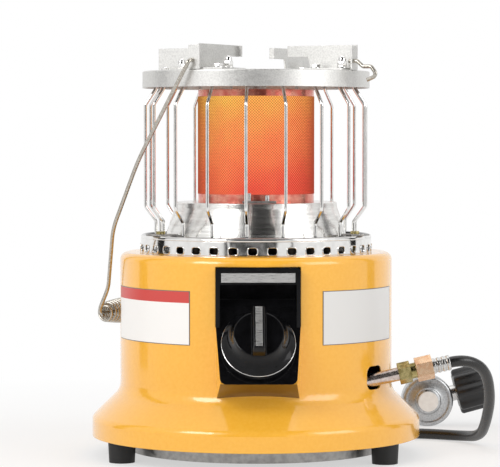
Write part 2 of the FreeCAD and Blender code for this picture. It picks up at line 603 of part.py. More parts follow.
def make_top():
    plate = turned("plate_form", [
        ("0", "roof"), ("plate_radius - plate_sheet", "roof"), ("plate_radius - plate_sheet", "plate_bottom"),
        ("plate_radius", "plate_bottom"), ("plate_radius", "plate_top"), ("0", "plate_top")],
        [("plate_radius", "plate_top", "plate_sheet")])
    PARTS.remove(plate)
    seat, up = size("plate_top + support_sheet"), Vector(0, 0, 1)
    studs, nuts = [], []
    for number, angle in enumerate(SUPPORT_ANGLES, start=1):
        side = NUT_SIDES[angle]
        label = f"pot_support_{number}"
        keep(make_support(label, angle, side), label)
        for reach in NUT_REACHES[side]:
            spot = polar(reach, angle) + polar(12 * side, angle + 90)
            studs.append(disc_at(size("stud_radius"), 5, spot + up * size("plate_top"), up))
            nuts.append(dome_nut(spot + up * seat, reach in (94.5, 72)))
    keep(plate, "top_plate")
    keep(feature("support_studs", Part.makeCompound(studs)), "support_studs")
    keep(feature("dome_nuts", Part.makeCompound(nuts)), "dome_nuts")


def dome_nut(at, tall):
    """A flanged nut on its stud: a tall dome nut, or a low one."""
    up, wide = Vector(0, 0, 1), size("nut_radius")
    high = size("nut_height") if tall else 4.5
    body = disc_at(wide + 0.8, 1, at, up).fuse(disc_at(wide, high - wide + 1.5, at, up))
    body = body.fuse(Part.makeSphere(wide - 0.6, at + up * (high - wide + 0.8)) if tall else
                     disc_at(wide - 1, high, at, up))
    bore = disc_at(size("stud_radius"), 5 - size("support_sheet"), at, up)
    low = Part.makeBox(20, 20, 10, at - Vector(10, 10, 10))
    return body.cut(bore.fuse(low)).removeSplitter()


def make_support(label, angle, side):
    """One pot support: an upright web with an arm, a foot flange and an end flange."""
    thick, low, high = size("support_sheet"), size("plate_top"), size("support_top")
    outer, inner, arm = size("support_out"), size("support_in"), size("arm_end")
    web = Part.makePolygon([Vector(inner, 0, high), Vector(outer, 0, high), Vector(outer, 0, low), Vector(arm, 0, low),
                            Vector(arm - 3, 0, high - size("arm_height")), Vector(inner, 0, high - size("arm_height")),
                            Vector(inner, 0, high)])
    web = Part.Face(web).extrude(Vector(0, thick, 0))
    web.translate(Vector(0, -thick / 2, 0))
    flange = size("foot_flange")
    foot = Part.makeBox(outer - arm - 4, flange, thick, Vector(arm, -thick / 2 if side > 0 else thick / 2 - flange, low))
    fold_side = 1 if angle == 60 else -1
    wide = size("end_flange")
    end = Part.makeBox(thick, wide, high - low - 1, Vector(outer - thick, -wide if fold_side < 0 else 0, low))
    fold = Part.makeBox(thick, 5, size("arm_height"), Vector(inner, -thick / 2, high - size("arm_height")))
    body = web.fuse([foot, end, fold]).removeSplitter()
    body = body.cut(Part.makeCylinder(size("bail_wire") + 0.08, 20,
                                      Vector(outer - 10, fold_side * size("hinge_offset"), size("bail_level")),
                                      Vector(1, 0, 0)))
    for reach in NUT_REACHES[side]:
        body = body.cut(Part.makeCylinder(size("stud_radius") + 0.1, 10, Vector(reach, 12 * side, low - 1)))
    body.rotate(Vector(0, 0, 0), Vector(0, 0, 1), angle)
    return feature(label, body)


def make_bail():
    """The bail in a frame of its own, hinge along X and hanging towards +Y, then turned."""
    high, low = size("bail_level"), size("grip_level")
    reach, start = size("body_radius + coil_radius + coil_wire + 0.5"), size("hinge_offset")
    span, inner, half = size("support_out") + 6, size("support_out") - 5, size("coil_length / 2")

    def on_plane(across, level):
        share = (high - level) / (high - low)
        return Vector(across, start + (reach - start) * share, level)
    side = [Vector(inner, start, high), on_plane(span, high), on_plane(span + 4, 270), on_plane(100, 208),
            on_plane(58, 152), on_plane(half + 9, low), on_plane(half - 6, low)]
    local = [Vector(-p.x, p.y, p.z) for p in side] + side[::-1]
    radii = [3.6, 120, 60, 34, 9, 1]
    path = rounded_path([p for i, p in enumerate(local) if i not in (6, 7)], radii[:5] + radii[:5][::-1])
    bail = wire_solid(path, size("bail_wire"))
    turn = size("support_angle")
    bail.rotate(Vector(0, 0, 0), Vector(0, 0, 1), turn)
    keep(feature("bail_handle", bail), "bail_handle")
    wire = size("coil_wire")
    coil = coil_tube(size("coil_radius"), size("coil_end"), size("bail_wire") + wire + 0.02, wire, size("coil_turns"),
                     size("coil_length / coil_turns"), 1)
    coil.rotate(Vector(0, 0, 0), Vector(0, 1, 0), 90)
    coil.translate(Vector(-half, reach, low))
    coil.rotate(Vector(0, 0, 0), Vector(0, 0, 1), turn)
    keep(feature("bail_grip", coil), "bail_grip")


def make_catch():
    """The bail's wire catch on the right-hand support."""
    angle, down = -30, Vector(0, 0, -1)
    out = polar(1, angle)
    start = polar(size("support_out") - 5, angle, size("bail_level")) + polar(size("hinge_offset"), angle - 90)
    points = [start, start + out * 8, start + out * 14 + down * 5, start + out * 22 + down * 5,
              start + out * 28 + down * 13, start + out * 18 + down * 17]
    keep(feature("catch_hook", wire_solid(rounded_path(points, [3, 3, 3.6, 3.4]), size("bail_wire"))), "catch_hook")


def make_labels():
    for label, low, high in (("label_left", -170.7, -118.6), ("label_right", -62.9, -15.2)):
        level, tall = size("label_low"), size("label_height")
        band = Part.makeCylinder(size("body_radius + label_sheet"), tall, Vector(0, 0, level), Vector(0, 0, 1),
                                 high - low)
        band = band.cut(Part.makeCylinder(size("body_radius + 0.03"), tall, Vector(0, 0, level)))
        band.rotate(Vector(0, 0, 0), Vector(0, 0, 1), low)
        keep(feature(label, band), label)


def make_safety():
    """Tilt switch on the pan, and the pilot bracket with its probes at the burner's foot."""
    base, deep = size("pan_bottom + pan_sheet"), 24
    box = Part.makeBox(26, 22, deep, Vector(-70, 20, base))
    box = box.cut(Part.makeBox(22, 18, deep - 4, Vector(-68, 22, base + 2)))
    pin_level = base + deep - 6
    pin = disc_at(1, 22, Vector(-68, 31, pin_level), Vector(1, 0, 0))
    keep(feature("tilt_switch", box.fuse(pin).removeSplitter()), "tilt_switch")
    bob = disc_at(2.2, 6, Vector(-60, 31, pin_level), Vector(1, 0, 0))
    bob = bob.fuse([disc_at(1.1, 9, Vector(-57, 31, pin_level - 10), Vector(0, 0, 1)),
                    Part.makeSphere(3.6, Vector(-57, 31, pin_level - 11))]).removeSplitter()
    bob = bob.cut(disc_at(1.06, 8, Vector(-61, 31, pin_level), Vector(1, 0, 0)))
    keep(feature("tilt_pendulum", bob), "tilt_pendulum")
    top = size("bell_top")
    near = -size("burner_radius") - 8
    keep(feature("pilot_bracket", Part.makeBox(30, 8, 2, Vector(-13, near - 4, top))), "pilot_bracket")
    keep(feature("thermocouple", disc_at(1.7, 7, Vector(-7, near, top + 2), Vector(0, 0, 1))), "thermocouple")
    keep(feature("igniter_electrode", disc_at(2.2, 5, Vector(9, near, top + 2), Vector(0, 0, 1))),
         "igniter_electrode")


def check_and_write():
    doc.recompute()
    for item in doc.Objects:
        if "Invalid" in item.State or "Error" in item.State:
            raise RuntimeError(f"{item.Label} failed: {item.State}")
    os.makedirs("parts", exist_ok=True)
    for part in PARTS:
        if part.Shape.isNull() or not part.Shape.isValid():
            raise RuntimeError(f"{part.Label} has no valid shape")
        part.Shape.exportStep(f"parts/{part.Label}.step")
    print(len(PARTS), "nodes written")


for maker in (make_base, make_shell, make_panel, make_knob, make_valve, make_vent_ring, make_cage, make_burner,
              make_hose, make_top, make_bail, make_catch, make_labels, make_safety):
    maker()
    print(maker.__name__)
check_and_write()
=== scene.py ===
import math

import bmesh
import bpy
from mathutils import Matrix, Vector


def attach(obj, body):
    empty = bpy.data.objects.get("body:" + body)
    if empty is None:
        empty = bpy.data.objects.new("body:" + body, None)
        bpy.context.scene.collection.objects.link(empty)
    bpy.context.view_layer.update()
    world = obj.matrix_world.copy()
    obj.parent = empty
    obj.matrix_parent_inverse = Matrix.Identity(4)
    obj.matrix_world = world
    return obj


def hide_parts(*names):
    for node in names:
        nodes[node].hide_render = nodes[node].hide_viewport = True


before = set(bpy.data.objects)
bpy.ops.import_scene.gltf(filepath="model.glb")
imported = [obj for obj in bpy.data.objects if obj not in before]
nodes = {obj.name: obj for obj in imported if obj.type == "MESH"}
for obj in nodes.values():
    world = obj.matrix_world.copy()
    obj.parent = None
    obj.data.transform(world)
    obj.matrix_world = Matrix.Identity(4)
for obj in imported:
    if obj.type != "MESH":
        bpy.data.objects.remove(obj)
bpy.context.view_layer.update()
mm = 0.001
scene = bpy.context.scene

# the photograph was taken with a long lens, a little above the heater's middle
camera = {"distance": 2.29, "side": -0.036, "height": 0.291, "pitchDown": 2.22, "yaw": -0.763, "lens": 180}


def addCamera():
    data = bpy.data.cameras.new("camera")
    data.lens = camera["lens"]
    data.sensor_width = 36
    data.sensor_fit = "HORIZONTAL"
    data.clip_end = 50
    eye = bpy.data.objects.new("camera", data)
    eye.location = (camera["side"], -camera["distance"], camera["height"])
    eye.rotation_euler = (math.radians(90 - camera["pitchDown"]), 0, math.radians(camera["yaw"]))
    scene.collection.objects.link(eye)
    scene.camera = eye


def hexColour(code):
    # sRGB hex to linear
    parts = [int(code[i:i + 2], 16) / 255 for i in (1, 3, 5)]
    linear = [c / 12.92 if c <= 0.04045 else ((c + 0.055) / 1.055) ** 2.4 for c in parts]
    return (*linear, 1.0)


def addNode(mat, kind, inputs=None, **settings):
    # adds one node with its settings, values and links
    node = mat.node_tree.nodes.new(kind)
    for name, value in settings.items():
        setattr(node, name, value)
    for key, value in (inputs or {}).items():
        if isinstance(value, bpy.types.NodeSocket):
            mat.node_tree.links.new(value, node.inputs[key])
        else:
            node.inputs[key].default_value = value
    return node


def newMaterial(name, colour, **values):
    mat = bpy.data.materials.new(name)
    mat.use_nodes = True
    shader = mat.node_tree.nodes["Principled BSDF"]
    shader.inputs["Base Color"].default_value = hexColour(colour)
    for key, value in values.items():
        shader.inputs[key.replace("_", " ")].default_value = value
    return mat, shader


def link(mat, source, target):
    mat.node_tree.links.new(source, target)


def finish(mat, shader, size, bump, tones, rough, stretch=(1, 1, 1), edge=0.4, detail=3.0):
    # noise of a real size in mm drives the tone, the roughness and the bump; edges are rounded by edge mm
    place = addNode(mat, "ShaderNodeTexCoord")
    scaled = addNode(mat, "ShaderNodeMapping", {"Vector": place.outputs["Object"], "Scale": stretch})
    noise = addNode(mat, "ShaderNodeTexNoise", {"Vector": scaled.outputs["Vector"], "Scale": 1 / (size * mm),
                                                "Detail": detail})
    ramp = addNode(mat, "ShaderNodeValToRGB", {"Fac": noise.outputs["Fac"]})
    ramp.color_ramp.elements[0].position, ramp.color_ramp.elements[1].position = 0.35, 0.65
    ramp.color_ramp.elements[0].color = hexColour(tones[0])
    ramp.color_ramp.elements[1].color = hexColour(tones[1])
    link(mat, ramp.outputs["Color"], shader.inputs["Base Color"])
    spread = addNode(mat, "ShaderNodeMapRange", {"Value": noise.outputs["Fac"], "From Min": 0.3,
                                                 "From Max": 0.7, "To Min": rough[0], "To Max": rough[1]})
    link(mat, spread.outputs["Result"], shader.inputs["Roughness"])
    rounded = addNode(mat, "ShaderNodeBevel", {"Radius": edge * mm}, samples=4)
    relief = addNode(mat, "ShaderNodeBump", {"Height": noise.outputs["Fac"], "Distance": bump * mm,
                                             "Normal": rounded.outputs["Normal"]})
    link(mat, relief.outputs["Normal"], shader.inputs["Normal"])


def paintShadeWhere(mat, shader, axis, limit, tone, soft=2):
    # paints shade by dulling the colour towards a dark tone below a limit: axis "R" is the distance from the
    # heater's axis and "Z" the height, both in mm, and "N" is how far a face looks up, from -1 to 1
    if axis == "N":
        facing = addNode(mat, "ShaderNodeNewGeometry").outputs["True Normal"]
        level = addNode(mat, "ShaderNodeSeparateXYZ", {"Vector": facing}).outputs["Z"]
        level = addNode(mat, "ShaderNodeMath", {0: level, 1: mm}, operation="MULTIPLY").outputs["Value"]
    elif axis == "R":
        place = addNode(mat, "ShaderNodeTexCoord").outputs["Object"]
        flat = addNode(mat, "ShaderNodeVectorMath", {0: place, 1: (1, 1, 0)}, operation="MULTIPLY")
        level = addNode(mat, "ShaderNodeVectorMath", {0: flat.outputs["Vector"]},
                        operation="LENGTH").outputs["Value"]
    else:
        place = addNode(mat, "ShaderNodeTexCoord").outputs["Object"]
        level = addNode(mat, "ShaderNodeSeparateXYZ", {"Vector": place}).outputs["Z"]
    share = addNode(mat, "ShaderNodeMapRange", {"Value": level, "From Min": (limit - soft) * mm,
                                                "From Max": limit * mm, "To Min": 1.0, "To Max": 0.0})
    colour = shader.inputs["Base Color"].links[0].from_socket
    mixed = addNode(mat, "ShaderNodeMixRGB", {"Fac": share.outputs["Result"], "Color1": colour,
                                              "Color2": hexColour(tone)})
    link(mat, mixed.outputs["Color"], shader.inputs["Base Color"])


def yellowEnamel():
    # sprayed stove enamel: a glossy warm yellow with faint orange peel, and painted shade on the faces that look
    # down
    mat, shader = newMaterial("yellowEnamel", "#F0B035", Roughness=0.22, Coat_Weight=0.7, Coat_Roughness=0.06)
    finish(mat, shader, 3.0, 0.012, ("#EFAE33", "#F2B33A"), (0.2, 0.27), edge=1.0)
    # painted shade: faces turned downwards, such as the control pod's underside, are painted dark brown
    paintShadeWhere(mat, shader, "N", -0.4, "#4A2706", 0.3)
    return mat


def glossBlack():
    # injection-moulded ABS, polished: deep black with sharp reflections
    mat, shader = newMaterial("glossBlackAbs", "#0B0B0C", Roughness=0.12, IOR=1.46, Specular_IOR_Level=0.22)
    finish(mat, shader, 6.0, 0.004, ("#0A0A0B", "#101012"), (0.09, 0.16), edge=0.8)
    return mat


def blackRubber():
    # moulded nitrile rubber: near black, satin, slightly dusty
    mat, shader = newMaterial("blackRubber", "#121110", Roughness=0.55)
    finish(mat, shader, 0.8, 0.05, ("#0F0E0D", "#181615"), (0.48, 0.66), edge=0.8)
    return mat


def hoseRubber():
    # extruded gas hose: smooth black rubber with a soft long highlight
    mat, shader = newMaterial("hoseRubber", "#121110", Roughness=0.3, Specular_IOR_Level=0.6)
    finish(mat, shader, 1.2, 0.02, ("#100F0E", "#191716"), (0.24, 0.36))
    return mat


def chromePlate():
    # bright chrome on steel wire and pressings
    mat, shader = newMaterial("chromePlate", "#E4E3E1", Metallic=1.0, Roughness=0.1)
    finish(mat, shader, 8.0, 0.006, ("#DEDDDB", "#EAE9E7"), (0.06, 0.14), edge=0.5)
    return mat


def steelWire():
    # drawn spring steel, bright zinc: slightly warmer and duller than chrome
    mat, shader = newMaterial("steelWire", "#B9B3A9", Metallic=1.0, Roughness=0.24)
    finish(mat, shader, 1.5, 0.01, ("#ABA59B", "#C6C1B8"), (0.18, 0.3))
    return mat


def polishedBell():
    # spun aluminium reflector: satin mirror with soft spinning rings, drawn 2 mm apart because real ones are
    # too fine to show
    mat, shader = newMaterial("spunReflector", "#E2E0DD", Metallic=1.0, Roughness=0.26)
    finish(mat, shader, 2.0, 0.003, ("#D9D7D4", "#E9E8E5"), (0.2, 0.25), stretch=(0.05, 0.05, 1))
    # painted shade: the bell is darkened below a height of 199 mm, at its foot
    paintShadeWhere(mat, shader, "Z", 199, "#2A2622")
    return mat


def ventChrome():
    # the vent ring: chrome outside, with painted shade darkening its inner wall
    mat, shader = newMaterial("ventChrome", "#E4E3E1", Metallic=1.0, Roughness=0.1)
    finish(mat, shader, 8.0, 0.006, ("#DEDDDB", "#EAE9E7"), (0.06, 0.14), edge=0.5)
    paintShadeWhere(mat, shader, "R", 105.2, "#24201D")
    return mat


def galvanised():
    # hot-dip galvanised sheet: pale grey with soft spangle
    mat, shader = newMaterial("galvanisedSheet", "#A5A3A0", Metallic=1.0, Roughness=0.42)
    finish(mat, shader, 5.0, 0.03, ("#989694", "#B6B4B1"), (0.34, 0.5))
    return mat


def hammeredSheet():
    # aluminised steel with a fine stippled grain
    mat, shader = newMaterial("aluminisedSheet", "#DAD9D6", Metallic=0.85, Roughness=0.4)
    finish(mat, shader, 1.3, 0.06, ("#CFCECB", "#E3E2DF"), (0.32, 0.5), edge=0.5, detail=4)
    return mat


def zincYellow():
    # passivated zinc: yellow with olive and pink clouds
    mat, shader = newMaterial("yellowZinc", "#A39560", Metallic=1.0, Roughness=0.26)
    finish(mat, shader, 4.0, 0.01, ("#84784A", "#BFB07C"), (0.18, 0.32))
    return mat


def nickelPipe():
    # the inlet pipe: silver with a faint rose cast
    mat, shader = newMaterial("rosyNickel", "#CDBFB8", Metallic=1.0, Roughness=0.24)
    finish(mat, shader, 3.0, 0.01, ("#C0B0A9", "#DAD0CB"), (0.18, 0.3))
    return mat


def zincPink():
    # passivated zinc on the flare nut, pinker than the pipe
    mat, shader = newMaterial("pinkZinc", "#D9B08C", Metallic=1.0, Roughness=0.26)
    finish(mat, shader, 5.0, 0.01, ("#C99C78", "#E6C7A6"), (0.18, 0.32), edge=0.5)
    return mat


def machinedBrass():
    # turned brass, inside the case: its turning marks are drawn 1 mm apart, coarser than they are
    mat, shader = newMaterial("machinedBrass", "#C9A25A", Metallic=1.0, Roughness=0.28)
    finish(mat, shader, 1.0, 0.01, ("#BC944C", "#D4B06C"), (0.22, 0.34), stretch=(0.2, 0.2, 1))
    return mat


def brightSteel():
    # nickel-plated steel ferrules and studs: clean grey and fairly bright
    mat, shader = newMaterial("nickelSteel", "#C9C8C6", Metallic=1.0, Roughness=0.22)
    finish(mat, shader, 1.5, 0.01, ("#BDBCBA", "#D6D5D3"), (0.15, 0.3))
    return mat


def castSilver():
    # die-cast zinc alloy, satin
    mat, shader = newMaterial("dieCastZinc", "#B7B8B9", Metallic=1.0, Roughness=0.34)
    finish(mat, shader, 1.6, 0.03, ("#A9AAAB", "#C6C7C8"), (0.26, 0.42), edge=1.2)
    return mat


def trimSilver():
    # brushed aluminium trim: its brush lines are drawn 0.5 mm apart, as coarse as they need to show
    mat, shader = newMaterial("brushedTrim", "#D5D4D2", Metallic=0.9, Roughness=0.3)
    finish(mat, shader, 0.5, 0.01, ("#C8C7C5", "#E2E1DF"), (0.25, 0.38), stretch=(0.06, 1, 1))
    return mat


def whiteCap():
    # moulded polypropylene cap: plain white with a soft sheen
    mat, shader = newMaterial("whitePolypropylene", "#F0EFED", Roughness=0.42)
    finish(mat, shader, 4.0, 0.01, ("#ECEBE9", "#F5F4F2"), (0.36, 0.48))
    return mat


def blackMoulded():
    # grained black nylon handwheel
    mat, shader = newMaterial("blackNylon", "#161617", Roughness=0.36)
    finish(mat, shader, 0.9, 0.04, ("#131314", "#1E1E20"), (0.28, 0.44), edge=0.8)
    return mat


def heatTinted():
    # stainless band next to the flame: straw and rose heat tint
    mat, shader = newMaterial("heatTintedSteel", "#D77F6E", Metallic=0.8, Roughness=0.22)
    finish(mat, shader, 7.0, 0.01, ("#CE6A5C", "#E39A86"), (0.16, 0.28))
    return mat


# heights and half width of the gauze in metres, patch in mm, and shares along the way from low to hot
glow = {
    "hot": "#FFC85A", "warm": "#FF8A50", "low": "#F0503F", "gap": "#A8431F", "strength": 1.1,
    "strandStrength": 0.5, "strandShade": 0.55, "foot": 0.239, "head": 0.327, "halfWide": 0.053,
    "headShare": 0.82, "rightShare": -0.12, "leftShare": 0.16, "patch": 24, "patchShare": 0.2, "warmAt": 0.45,
}


def glowingGauze(name, strength, shade):
    # radiant gauze: yellow at the top left, orange over the middle, red at the foot
    mat, shader = newMaterial(name, "#5A2A1C", Roughness=0.7)
    place = addNode(mat, "ShaderNodeTexCoord")
    axes = addNode(mat, "ShaderNodeSeparateXYZ", {"Vector": place.outputs["Object"]})
    height = addNode(mat, "ShaderNodeMapRange", {"Value": axes.outputs["Z"], "From Min": glow["foot"],
                                                 "From Max": glow["head"], "To Min": 0.0,
                                                 "To Max": glow["headShare"]})
    across = addNode(mat, "ShaderNodeMapRange", {"Value": axes.outputs["X"], "From Min": glow["halfWide"],
                                                 "From Max": -glow["halfWide"], "To Min": glow["rightShare"],
                                                 "To Max": glow["leftShare"]}, clamp=False)
    clouds = addNode(mat, "ShaderNodeTexNoise", {"Vector": place.outputs["Object"],
                                                 "Scale": 1 / (glow["patch"] * mm)})
    patch = addNode(mat, "ShaderNodeMapRange", {"Value": clouds.outputs["Fac"], "To Min": -glow["patchShare"],
                                                "To Max": glow["patchShare"]})
    total = addNode(mat, "ShaderNodeMath", {0: height.outputs["Result"], 1: across.outputs["Result"]})
    total = addNode(mat, "ShaderNodeMath", {0: total.outputs["Value"], 1: patch.outputs["Result"]})
    ramp = addNode(mat, "ShaderNodeValToRGB", {"Fac": total.outputs["Value"]})
    ramp.color_ramp.elements[0].color = hexColour(glow["low"])
    ramp.color_ramp.elements[1].color = hexColour(glow["hot"])
    middle = ramp.color_ramp.elements.new(glow["warmAt"])
    middle.color = hexColour(glow["warm"])
    dim = addNode(mat, "ShaderNodeMixRGB", {"Fac": shade, "Color1": ramp.outputs["Color"],
                                            "Color2": hexColour(glow["gap"])})
    link(mat, dim.outputs["Color"], shader.inputs["Emission Color"])
    shader.inputs["Emission Strength"].default_value = strength
    return mat


# heights and the line's width in metres, edgeTurn that width as a turn in radians; each sticker has its middle
# angle and its half angle in degrees, then the colours of its band and its paper
sticker = {
    "bottom": 0.1085, "top": 0.156, "header": 0.1455, "edge": 0.0006, "edgeTurn": 0.006,
    "left": (-144.65, 26.05, "#C8453F", "#EDEBE8"), "right": (-39.05, 23.85, "#D9D8D6", "#D9D8D6"),
    "line": "#6E6A66",
}


def printedSticker(name, middleAngle, halfAngle, header, paper):
    # satin vinyl sticker: a thin dark outline, and on one a plain coloured band
    mat, shader = newMaterial(name, paper, Roughness=0.35)
    place = addNode(mat, "ShaderNodeTexCoord")
    axes = addNode(mat, "ShaderNodeSeparateXYZ", {"Vector": place.outputs["Object"]})
    angle = addNode(mat, "ShaderNodeMath", {0: axes.outputs["Y"], 1: axes.outputs["X"]}, operation="ARCTAN2")
    off = addNode(mat, "ShaderNodeMath", {0: angle.outputs["Value"], 1: math.radians(middleAngle)},
                  operation="SUBTRACT")
    off = addNode(mat, "ShaderNodeMath", {0: off.outputs["Value"]}, operation="ABSOLUTE")
    side = addNode(mat, "ShaderNodeMath", {0: off.outputs["Value"],
                                           1: math.radians(halfAngle) - sticker["edgeTurn"]},
                   operation="GREATER_THAN")
    low = addNode(mat, "ShaderNodeMath", {0: axes.outputs["Z"], 1: sticker["bottom"] + sticker["edge"]},
                  operation="LESS_THAN")
    high = addNode(mat, "ShaderNodeMath", {0: axes.outputs["Z"], 1: sticker["top"] - sticker["edge"]},
                   operation="GREATER_THAN")
    band = addNode(mat, "ShaderNodeMath", {0: axes.outputs["Z"], 1: sticker["header"]}, operation="GREATER_THAN")
    outline = addNode(mat, "ShaderNodeMath", {0: side.outputs["Value"], 1: low.outputs["Value"]},
                      operation="MAXIMUM")
    outline = addNode(mat, "ShaderNodeMath", {0: outline.outputs["Value"], 1: high.outputs["Value"]},
                      operation="MAXIMUM")
    colour = addNode(mat, "ShaderNodeMixRGB", {"Fac": band.outputs["Value"], "Color1": hexColour(paper),
                                               "Color2": hexColour(header)})
    colour = addNode(mat, "ShaderNodeMixRGB", {"Fac": outline.outputs["Value"], "Color1": colour.outputs["Color"],
                                               "Color2": hexColour(sticker["line"])})
    link(mat, colour.outputs["Color"], shader.inputs["Base Color"])
    return mat


def dress(mat, *names):
    for name in names:
        piece = nodes[name] if isinstance(name, str) else name
        if not piece.material_slots:
            piece.data.materials.append(mat)
        for slot in piece.material_slots:
            slot.material = mat


def newPiece(name, mesh, body, mat, replaced=()):
    piece = bpy.data.objects.new(name, mesh)
    scene.collection.objects.link(piece)
    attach(piece, body)
    if replaced:
        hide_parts(*replaced)
    dress(mat, piece)
    return piece


def latheMesh(name, profile, steps=96, radiusAt=None):
    # profile is (radius, height) in mm, turned about Z; radiusAt may shape the rim by angle
    verts, faces = [], []
    for step in range(steps):
        turn = math.tau * step / steps
        for radius, height in profile:
            reach = radius if radiusAt is None else radiusAt(radius, turn)
            verts.append((reach * mm * math.cos(turn), reach * mm * math.sin(turn), height * mm))
    count = len(profile)
    for step in range(steps):
        here, ahead = step * count, ((step + 1) % steps) * count
        for i in range(count - 1):
            faces.append((here + i, ahead + i, ahead + i + 1, here + i + 1))
    mesh = bpy.data.meshes.new(name)
    mesh.from_pydata(verts, [], faces)
    form = bmesh.new()
    form.from_mesh(mesh)
    bmesh.ops.remove_doubles(form, verts=form.verts, dist=0.01 * mm)
    bmesh.ops.recalc_face_normals(form, faces=form.faces)
    form.to_mesh(mesh)
    form.free()
    smoothShade(mesh)
    return mesh


def smoothShade(mesh, angle=35):
    for face in mesh.polygons:
        face.use_smooth = True
    mesh.set_sharp_from_angle(angle=math.radians(angle))


def pointAlong(mesh, origin, direction, spin=0.0):
    # moves a mesh made about Z to an origin in metres, with Z along a direction
    turn = Vector(direction).to_track_quat("Z", "Y").to_matrix().to_4x4()
    mesh.transform(Matrix.Translation(origin) @ turn @ Matrix.Rotation(spin, 4, "Z"))
    return mesh


def joined(name, meshes):
    whole = bmesh.new()
    for mesh in meshes:
        whole.from_mesh(mesh)
    result = bpy.data.meshes.new(name)
    whole.to_mesh(result)
    whole.free()
    smoothShade(result)
    return result


# radius in mm, length and route in metres; the route runs from the inlet's ferrule to the regulator, which
# lies on the floor
hose = {
    "radius": 5.0, "length": 0.457,
    "route": [(0.17225, -0.066, 0.08951), (0.18591, -0.066, 0.09259), (0.206, -0.050, 0.082),
              (0.214, -0.018, 0.054), (0.214, 0.018, 0.027), (0.212, 0.052, 0.009), (0.198, 0.086, 0.0054),
              (0.162, 0.106, 0.0054), (0.118, 0.111, 0.0054), (0.086, 0.134, 0.0054), (0.071, 0.166, 0.0054),
              (0.084, 0.203, 0.0054), (0.10887, 0.222, 0.00751), (0.13785, 0.222, 0.01528)],
}


def makeHose(mat):
    data = bpy.data.curves.new("gasHose", "CURVE")
    data.dimensions = "3D"
    data.bevel_depth = 1.0
    data.bevel_resolution = 6
    data.resolution_u = 24
    line = data.splines.new("NURBS")
    line.points.add(len(hose["route"]) - 1)
    for point, place in zip(line.points, hose["route"]):
        point.co = (*place, 1)
        # the points hold the radius, so that the box of the curve is its true one
        point.radius = hose["radius"] * mm
    line.order_u = 3
    line.use_endpoint_u = True
    piece = newPiece("gasHose", data, "heater", mat, ("hose",))
    onCord = ["regulator_ferrule", "regulator_body", "regulator_cover", "regulator_cap", "regulator_neck",
              "handwheel", "hose_ferrule"]
    return piece, onCord


# knob, in mm along its own axis from the panel; the axis rises 33 degrees towards the front
knobRise = math.radians(33)
knobAxis = Vector((0, -math.cos(knobRise), math.sin(knobRise)))
knobBase = Vector((0, -0.135015, 0.1089))
knob = {
    "body": [(0, 7.4), (31.8, 7.4), (31.9, 8.0), (31.2, 8.9), (28.4, 10.4), (26.0, 12.6), (24.6, 15.2),
             (23.6, 18), (22.8, 21), (22.3, 23.4), (21.8, 24.6), (20.8, 25.1), (20.4, 25.1), (0, 25.1)],
    "gripLength": 43.6, "gripTop": 10.0, "gripFoot": 13.0, "gripHigh": 38.0, "gripLow": 24.0,
    "gripRound": 1.6, "gripTaper": 3,
}


def makeKnob(mat):
    disc = latheMesh("knobDisc", knob["body"], 128)
    form = bmesh.new()
    bmesh.ops.create_cube(form, size=1.0)
    for vert in form.verts:
        top = vert.co.z > 0
        vert.co.x *= knob["gripTop" if top else "gripFoot"] * mm
        vert.co.y *= (knob["gripLength"] - (knob["gripTaper"] if top else 0)) * mm
        vert.co.z = knob["gripHigh" if top else "gripLow"] * mm
    bmesh.ops.bevel(form, geom=list(form.edges), offset=knob["gripRound"] * mm, segments=4, profile=0.5,
                    affect="EDGES")
    bar = bpy.data.meshes.new("knobBar")
    form.to_mesh(bar)
    form.free()
    mesh = pointAlong(joined("knobBody", [disc, bar]), knobBase, knobAxis, math.pi)
    return newPiece("knobBody", mesh, "knob_body", mat, ("knob",))


gauze = {"radius": 53.0, "low": 239.0, "high": 327.5, "pitch": 2.5, "strand": 0.32, "rings": 26, "corners": 3}


def makeGauze(mat):
    # diamond gauze of crossing helical strands
    verts, faces = [], []
    around = int(math.tau * gauze["radius"] / gauze["pitch"])
    tall = gauze["high"] - gauze["low"]
    lean = tall / gauze["radius"]
    corners = gauze["corners"]
    for way in (1, -1):
        for strand in range(around):
            start = math.tau * strand / around
            for ring in range(gauze["rings"] + 1):
                share = ring / gauze["rings"]
                turn = start + way * lean * share
                first = len(verts)
                for corner in range(corners):
                    bend = math.tau * corner / corners
                    reach = gauze["radius"] + gauze["strand"] * math.cos(bend)
                    slide = gauze["strand"] * math.sin(bend) / gauze["radius"]
                    verts.append((reach * mm * math.cos(turn + slide), reach * mm * math.sin(turn + slide),
                                  (gauze["low"] + tall * share) * mm))
                if ring:
                    last = first - corners
                    for corner in range(corners):
                        nextCorner = (corner + 1) % corners
                        faces.append((last + corner, last + nextCorner, first + nextCorner, first + corner))
    mesh = bpy.data.meshes.new("burnerGauze")
    mesh.from_pydata(verts, [], faces)
    smoothShade(mesh)
    return newPiece("burnerGauze", mesh, "heater", mat)


ventRing = {"radius": 105.6, "level": 190.2, "count": 38, "firstAngle": -92.5, "halfWide": 4.1, "halfTall": 3.15,
            "rim": 0.3, "wire": 0.5}


def makeVentRims(mat):
    # pressed rims round the air holes, which are rounded oblongs
    rims = []

    def oblong(radius, turn):
        across, up = abs(math.cos(turn)) / ventRing["halfWide"], abs(math.sin(turn)) / ventRing["halfTall"]
        return radius + (across ** 4 + up ** 4) ** -0.25
    profile = [(ventRing["rim"] + ventRing["wire"] * math.cos(a), ventRing["wire"] * math.sin(a))
               for a in [math.tau * i / 8 for i in range(9)]]
    for i in range(ventRing["count"]):
        turn = math.radians(ventRing["firstAngle"]) + math.tau * i / ventRing["count"]
        out = Vector((math.cos(turn), math.sin(turn), 0))
        rim = latheMesh("rim", profile, 28, oblong)
        place = out * ventRing["radius"] * mm + Vector((0, 0, ventRing["level"] * mm))
        rims.append(pointAlong(rim, place, out))
    return newPiece("ventRims", joined("ventRims", rims), "heater", mat)


